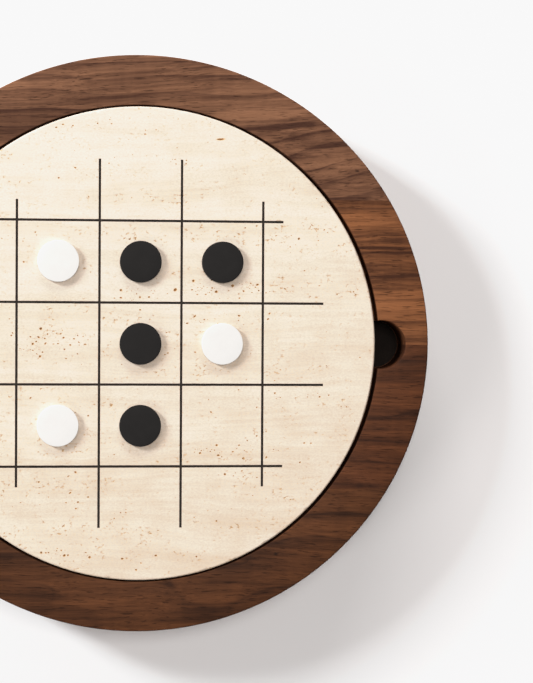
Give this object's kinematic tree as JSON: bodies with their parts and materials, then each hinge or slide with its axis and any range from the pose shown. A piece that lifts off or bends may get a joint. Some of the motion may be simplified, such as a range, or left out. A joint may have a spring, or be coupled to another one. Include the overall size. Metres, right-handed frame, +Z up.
{
  "type": "tic tac toe set",
  "caption": "Round walnut tray with a lift-out travertine game board, a black-filled grid, round playing pieces and a storage well under the board.",
  "frame": {"origin": "middle of the plane that the feet stand on, on the tray's centre line", "axes": "+Z up, +X from the middle of the tray to the finger notch, +Y across the grain of the boards"},
  "size_m": [0.356, 0.356, 0.053],
  "materials": {
    "walnut": "oiled, satin",
    "travertine": "honed, open pores",
    "black_fill": "matte filler in engraved lines",
    "black_paint": "matte powder coat",
    "white_paint": "matte powder coat",
    "felt": "pressed wool felt",
    "pad_rubber": "matte"
  },
  "bodies": {
    "tray": {"rim_back": "walnut", "rim_front": "walnut", "rim_back_left": "walnut", "rim_front_left": "walnut", "rim_back_right": "walnut", "rim_front_right": "walnut", "base_front": "walnut", "base_middle": "walnut", "base_back": "walnut", "well_liner": "felt", "foot_1": "felt", "foot_2": "felt", "foot_3": "felt", "foot_4": "felt", "seat_pad_1": "pad_rubber", "seat_pad_2": "pad_rubber", "seat_pad_3": "pad_rubber", "seat_pad_4": "pad_rubber"},
    "board": {"board": "travertine", "grid_inlay": "black_fill"},
    "black_piece_1": {"black_piece_1": "black_paint"},
    "black_piece_2": {"black_piece_2": "black_paint"},
    "black_piece_3": {"black_piece_3": "black_paint"},
    "black_piece_4": {"black_piece_4": "black_paint"},
    "black_piece_5": {"black_piece_5": "black_paint"},
    "white_piece_1": {"white_piece_1": "white_paint"},
    "white_piece_2": {"white_piece_2": "white_paint"},
    "white_piece_3": {"white_piece_3": "white_paint"},
    "white_piece_4": {"white_piece_4": "white_paint"},
    "white_piece_5": {"white_piece_5": "white_paint"}
  },
  "joints": [
    {"name": "board_lift", "type": "slide", "parent": "tray", "child": "board", "axis": [0, 0, 1], "range_m": [0, 0.06]},
    {"name": "black_piece_1_lift", "type": "slide", "parent": "board", "child": "black_piece_1", "axis": [0, 0, 1], "range_m": [0, 0.04]},
    {"name": "black_piece_2_lift", "type": "slide", "parent": "board", "child": "black_piece_2", "axis": [0, 0, 1], "range_m": [0, 0.04]},
    {"name": "black_piece_3_lift", "type": "slide", "parent": "board", "child": "black_piece_3", "axis": [0, 0, 1], "range_m": [0, 0.04]},
    {"name": "black_piece_4_lift", "type": "slide", "parent": "board", "child": "black_piece_4", "axis": [0, 0, 1], "range_m": [0, 0.04]},
    {"name": "black_piece_5_lift", "type": "slide", "parent": "tray", "child": "black_piece_5", "axis": [0, 0, 1], "range_m": [0, 0.012]},
    {"name": "white_piece_1_lift", "type": "slide", "parent": "board", "child": "white_piece_1", "axis": [0, 0, 1], "range_m": [0, 0.04]},
    {"name": "white_piece_2_lift", "type": "slide", "parent": "board", "child": "white_piece_2", "axis": [0, 0, 1], "range_m": [0, 0.04]},
    {"name": "white_piece_3_lift", "type": "slide", "parent": "board", "child": "white_piece_3", "axis": [0, 0, 1], "range_m": [0, 0.04]},
    {"name": "white_piece_4_lift", "type": "slide", "parent": "tray", "child": "white_piece_4", "axis": [0, 0, 1], "range_m": [0, 0.012]},
    {"name": "white_piece_5_lift", "type": "slide", "parent": "tray", "child": "white_piece_5", "axis": [0, 0, 1], "range_m": [0, 0.012]}
  ]
}
